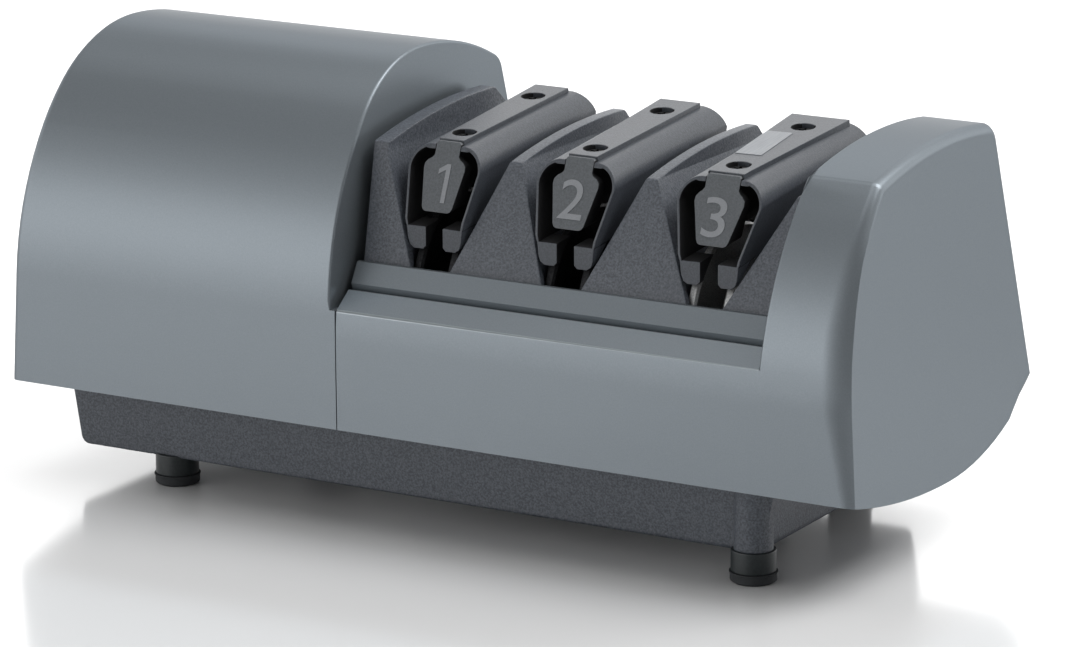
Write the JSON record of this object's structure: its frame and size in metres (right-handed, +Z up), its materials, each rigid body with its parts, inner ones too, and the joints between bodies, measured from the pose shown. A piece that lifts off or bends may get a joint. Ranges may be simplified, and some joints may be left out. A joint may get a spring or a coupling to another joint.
{
  "type": "electric knife sharpener",
  "caption": "Free-standing electric knife sharpener with an arched motor housing, numbered sprung guides over paired conical disks on one arbor, a rear rocker switch and rubber feet.",
  "frame": {"origin": "centre of the footprint's bounding box, on the floor under the feet", "axes": "+X along the arbor towards the end cap, -Y the front where the knives go in, +Z up"},
  "size_m": [0.2546, 0.1084, 0.1205],
  "materials": {
    "housing_grey": "satin metallic grey paint",
    "grained_black": "fine grained, black",
    "guide_black": "fine grained, black",
    "post_grey": "smooth, dark grey",
    "steel": "bright",
    "abrasive_steel": "fine abrasive coat",
    "rubber": "matt",
    "black_plastic": "semi-gloss",
    "copper": "enamelled wire",
    "lamination": "varnished laminations",
    "bronze": "oil-filled bronze",
    "bobbin_white": "moulded",
    "alumina": "fine abrasive stone",
    "magnet": "nickel plated"
  },
  "bodies": {
    "housing": {"motor_cover": "housing_grey", "sharpening_cover": "housing_grey", "guide_block": "grained_black", "base_tray": "grained_black", "foot_legs": "grained_black", "foot_pads": "rubber", "cover_screws": "steel", "cord_grommet": "rubber", "guide_spring_1": "guide_black", "guide_spring_2": "guide_black", "guide_spring_3": "guide_black", "guide_post_1": "post_grey", "guide_post_2": "post_grey", "guide_post_3": "post_grey", "guide_screws": "steel", "stator_core": "lamination", "field_coil": "copper", "coil_bobbin": "bobbin_white", "motor_bracket_left": "steel", "motor_bracket_right": "steel", "motor_bolts": "steel", "bearing_left": "bronze", "bearing_right": "bronze", "bearing_end": "bronze", "end_bracket": "steel", "switch_housing": "black_plastic", "lever_pin": "steel"},
    "arbor": {"arbor_shaft": "steel", "drive_pins": "steel", "shaft_collars": "steel", "rotor": "lamination", "cooling_fan": "black_plastic", "disk_spring_1": "steel", "disk_spring_2": "steel", "disk_spring_3": "steel"},
    "disk_1_left": {"disk_1_left": "abrasive_steel"},
    "disk_1_right": {"disk_1_right": "abrasive_steel"},
    "disk_2_left": {"disk_2_left": "abrasive_steel"},
    "disk_2_right": {"disk_2_right": "abrasive_steel"},
    "disk_3_left": {"disk_3_left": "abrasive_steel"},
    "disk_3_right": {"disk_3_right": "abrasive_steel"},
    "switch": {"switch_rocker": "black_plastic"},
    "lever": {"dressing_lever": "grained_black", "dressing_stick": "alumina"},
    "cleanout": {"cleanout_cover": "grained_black", "dust_magnet": "magnet"}
  },
  "joints": [
    {"name": "arbor_spin", "type": "hinge", "parent": "housing", "child": "arbor", "pos_m": [0, -0.0157, 0.06], "axis": [1, 0, 0], "continuous": true},
    {"name": "disk_1_left_slide", "type": "slide", "parent": "arbor", "child": "disk_1_left", "axis": [1, 0, 0], "range_m": [0, 0.0012], "stiffness_N_per_m": 500, "springref_m": -0.002, "deforming": ["disk_spring_1"]},
    {"name": "disk_1_right_slide", "type": "slide", "parent": "arbor", "child": "disk_1_right", "axis": [-1, 0, 0], "range_m": [0, 0.0012], "stiffness_N_per_m": 500, "springref_m": -0.002, "deforming": ["disk_spring_1"]},
    {"name": "disk_2_left_slide", "type": "slide", "parent": "arbor", "child": "disk_2_left", "axis": [1, 0, 0], "range_m": [0, 0.0012], "stiffness_N_per_m": 500, "springref_m": -0.002, "deforming": ["disk_spring_2"]},
    {"name": "disk_2_right_slide", "type": "slide", "parent": "arbor", "child": "disk_2_right", "axis": [-1, 0, 0], "range_m": [0, 0.0012], "stiffness_N_per_m": 500, "springref_m": -0.002, "deforming": ["disk_spring_2"]},
    {"name": "disk_3_left_slide", "type": "slide", "parent": "arbor", "child": "disk_3_left", "axis": [1, 0, 0], "range_m": [0, 0.0012], "stiffness_N_per_m": 500, "springref_m": -0.002, "deforming": ["disk_spring_3"]},
    {"name": "disk_3_right_slide", "type": "slide", "parent": "arbor", "child": "disk_3_right", "axis": [-1, 0, 0], "range_m": [0, 0.0012], "stiffness_N_per_m": 500, "springref_m": -0.002, "deforming": ["disk_spring_3"]},
    {"name": "switch_rock", "type": "hinge", "parent": "housing", "child": "switch", "pos_m": [-0.107, 0.04357, 0.06099], "axis": [1, 0, 0], "range_deg": [0, 16]},
    {"name": "lever_swing", "type": "hinge", "parent": "housing", "child": "lever", "pos_m": [0.0794, 0.0238, 0.0535], "axis": [0, 0, 1], "range_deg": [-5, 5]},
    {"name": "cleanout_slide", "type": "slide", "parent": "housing", "child": "cleanout", "axis": [1, 0, 0], "range_m": [0, 0.05]}
  ]
}
